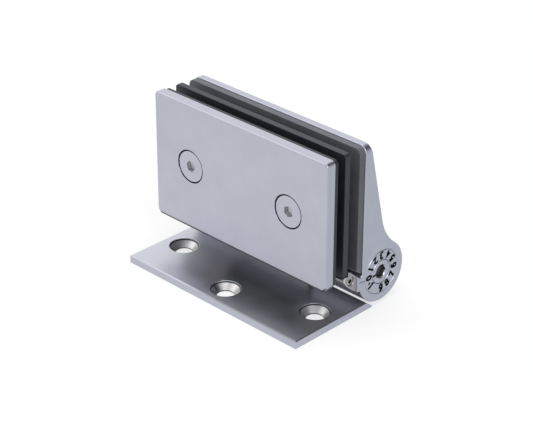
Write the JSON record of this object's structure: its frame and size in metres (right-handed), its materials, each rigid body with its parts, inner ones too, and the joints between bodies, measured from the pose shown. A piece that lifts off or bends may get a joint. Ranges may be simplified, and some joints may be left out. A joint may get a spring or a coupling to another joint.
{
  "type": "glass gate hinge",
  "caption": "Self-closing hinge that clamps a glass gate between plates and gaskets and turns it on a barrel beside a flat wall plate, with a tension dial in the barrel's end.",
  "frame": {"origin": "on the wall plate's mounting face, midway between its two outer screw holes", "axes": "+X along the hinge line towards the dial, +Y from the front plate to the barrel, +Z away from the wall"},
  "size_m": [0.11, 0.0717, 0.0848],
  "materials": {
    "satin_steel": "satin",
    "screw_steel": "fine turned satin",
    "dial_steel": "satin with black numbers",
    "inner_steel": "ground",
    "spring_steel": "dark spring steel",
    "gasket_rubber": "matt",
    "packing_rubber": "matt",
    "sleeve_plastic": "moulded",
    "bush_plastic": "moulded"
  },
  "bodies": {
    "wall_leaf": {"wall_plate": "satin_steel", "left_bush": "bush_plastic", "right_bush": "bush_plastic", "spring_anchor": "inner_steel", "torsion_spring": "spring_steel", "anchor_screw": "screw_steel"},
    "clamp_leaf": {"hinge_body": "satin_steel", "front_plate": "satin_steel", "front_gasket": "gasket_rubber", "packing_plate": "packing_rubber", "rear_gasket": "gasket_rubber", "clamp_screws": "screw_steel", "screw_sleeves": "sleeve_plastic", "left_pivot": "inner_steel", "right_pivot": "inner_steel", "end_cap": "dial_steel", "dial_ring": "dial_steel", "friction_washer": "inner_steel", "lug_screw": "screw_steel"},
    "tension_dial": {"dial_hub": "dial_steel", "spring_arbor": "inner_steel"}
  },
  "joints": [
    {"name": "gate_swing", "type": "hinge", "parent": "wall_leaf", "child": "clamp_leaf", "pos_m": [0, 0.032, 0.0165], "axis": [-1, 0, 0], "range_deg": [0, 90], "stiffness_Nm_per_rad": 0.6, "springref_deg": -68.75, "deforming": ["torsion_spring"]},
    {"name": "dial_turn", "type": "hinge", "parent": "clamp_leaf", "child": "tension_dial", "pos_m": [0, 0.032, 0.0165], "axis": [-1, 0, 0], "range_deg": [-30, 270], "deforming": ["torsion_spring"]}
  ]
}
